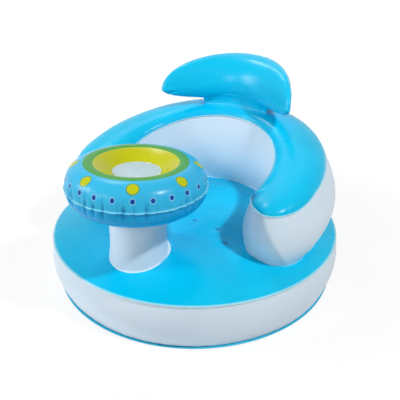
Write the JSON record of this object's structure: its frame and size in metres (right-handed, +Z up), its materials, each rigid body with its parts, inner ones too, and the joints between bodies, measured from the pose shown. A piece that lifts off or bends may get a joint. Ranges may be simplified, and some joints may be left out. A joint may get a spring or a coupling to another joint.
{
  "type": "inflatable baby floor seat",
  "caption": "Round inflatable floor seat: base cushion, horseshoe back with arms, crescent headrest and a play tray on a post, each chamber with its own valve.",
  "frame": {"origin": "centre of the round base on the floor", "axes": "+Z up, +X across the seat, -Y towards the tray, which is the front"},
  "size_m": [0.5804, 0.6049, 0.3957],
  "materials": {
    "blue_vinyl": "soft calendered PVC film, semi-gloss",
    "deep_blue_vinyl": "soft calendered PVC film, semi-gloss",
    "white_vinyl": "soft calendered PVC film, semi-gloss",
    "pale_blue_vinyl": "moulded soft PVC",
    "clear_vinyl": "moulded clear soft PVC"
  },
  "bodies": {
    "seat": {"base_bottom_sheet": "deep_blue_vinyl", "base_side_wall": "white_vinyl", "base_top_sheet": "blue_vinyl", "base_tie_strips": "white_vinyl", "back_wall_band": "white_vinyl", "back_top_sheet": "blue_vinyl", "headrest_root_tab": "pale_blue_vinyl", "post_wall": "white_vinyl", "post_foot_weld": "white_vinyl", "tray_bottom_sheet": "deep_blue_vinyl", "tray_top_sheet": "blue_vinyl", "tray_dish_sheet": "blue_vinyl", "tray_disc": "white_vinyl", "base_valve_seat": "pale_blue_vinyl", "back_valve_seat": "pale_blue_vinyl", "tray_valve_seat": "pale_blue_vinyl"},
    "headrest": {"headrest_front_sheet": "blue_vinyl", "headrest_rear_sheet": "blue_vinyl", "headrest_valve_seat": "pale_blue_vinyl"},
    "base_valve_inlet": {"base_valve_stem": "clear_vinyl"},
    "base_valve_cap": {"base_valve_plug": "pale_blue_vinyl"},
    "base_valve_check": {"base_valve_flap": "clear_vinyl"},
    "back_valve_inlet": {"back_valve_stem": "clear_vinyl"},
    "back_valve_cap": {"back_valve_plug": "pale_blue_vinyl"},
    "back_valve_check": {"back_valve_flap": "clear_vinyl"},
    "headrest_valve_inlet": {"headrest_valve_stem": "clear_vinyl"},
    "headrest_valve_cap": {"headrest_valve_plug": "pale_blue_vinyl"},
    "headrest_valve_check": {"headrest_valve_flap": "clear_vinyl"},
    "tray_valve_inlet": {"tray_valve_stem": "clear_vinyl"},
    "tray_valve_cap": {"tray_valve_plug": "pale_blue_vinyl"},
    "tray_valve_check": {"tray_valve_flap": "clear_vinyl"}
  },
  "joints": [
    {"name": "headrest_tilt", "type": "hinge", "parent": "seat", "child": "headrest", "pos_m": [0, 0.193, 0.2965], "axis": [1, 0, 0], "range_deg": [-12, 12], "stiffness_Nm_per_rad": 1.2},
    {"name": "base_inlet_push", "type": "slide", "parent": "seat", "child": "base_valve_inlet", "axis": [0, 1, 0], "range_m": [-0.0066, 0]},
    {"name": "base_cap_pull", "type": "slide", "parent": "base_valve_inlet", "child": "base_valve_cap", "axis": [0, 1, 0], "range_m": [0, 0.0082]},
    {"name": "base_check_open", "type": "hinge", "parent": "base_valve_inlet", "child": "base_valve_check", "pos_m": [-0.0043, 0.286, 0.0485], "axis": [0, 0, -1], "range_deg": [0, 40], "stiffness_Nm_per_rad": 0.0005},
    {"name": "back_inlet_push", "type": "slide", "parent": "seat", "child": "back_valve_inlet", "axis": [0, 1, 0], "range_m": [-0.0066, 0]},
    {"name": "back_cap_pull", "type": "slide", "parent": "back_valve_inlet", "child": "back_valve_cap", "axis": [0, 1, 0], "range_m": [0, 0.0082]},
    {"name": "back_check_open", "type": "hinge", "parent": "back_valve_inlet", "child": "back_valve_check", "pos_m": [-0.0043, 0.276, 0.18808], "axis": [0, 0, -1], "range_deg": [0, 40], "stiffness_Nm_per_rad": 0.0005},
    {"name": "headrest_inlet_push", "type": "slide", "parent": "headrest", "child": "headrest_valve_inlet", "axis": [0, 0.9659, -0.2588], "range_m": [-0.0066, 0]},
    {"name": "headrest_cap_pull", "type": "slide", "parent": "headrest_valve_inlet", "child": "headrest_valve_cap", "axis": [0, 0.9659, -0.2588], "range_m": [0, 0.0082]},
    {"name": "headrest_check_open", "type": "hinge", "parent": "headrest_valve_inlet", "child": "headrest_valve_check", "pos_m": [-0.0043, 0.23886, 0.34803], "axis": [0, -0.2588, -0.9659], "range_deg": [0, 40], "stiffness_Nm_per_rad": 0.0005},
    {"name": "tray_inlet_push", "type": "slide", "parent": "seat", "child": "tray_valve_inlet", "axis": [0, 0.2436, -0.9699], "range_m": [-0.0066, 0]},
    {"name": "tray_cap_pull", "type": "slide", "parent": "tray_valve_inlet", "child": "tray_valve_cap", "axis": [0, 0.2436, -0.9699], "range_m": [0, 0.0082]},
    {"name": "tray_check_open", "type": "hinge", "parent": "tray_valve_inlet", "child": "tray_valve_check", "pos_m": [-0.0043, -0.09216, 0.21098], "axis": [0, -0.9699, -0.2436], "range_deg": [0, 40], "stiffness_Nm_per_rad": 0.0005}
  ]
}
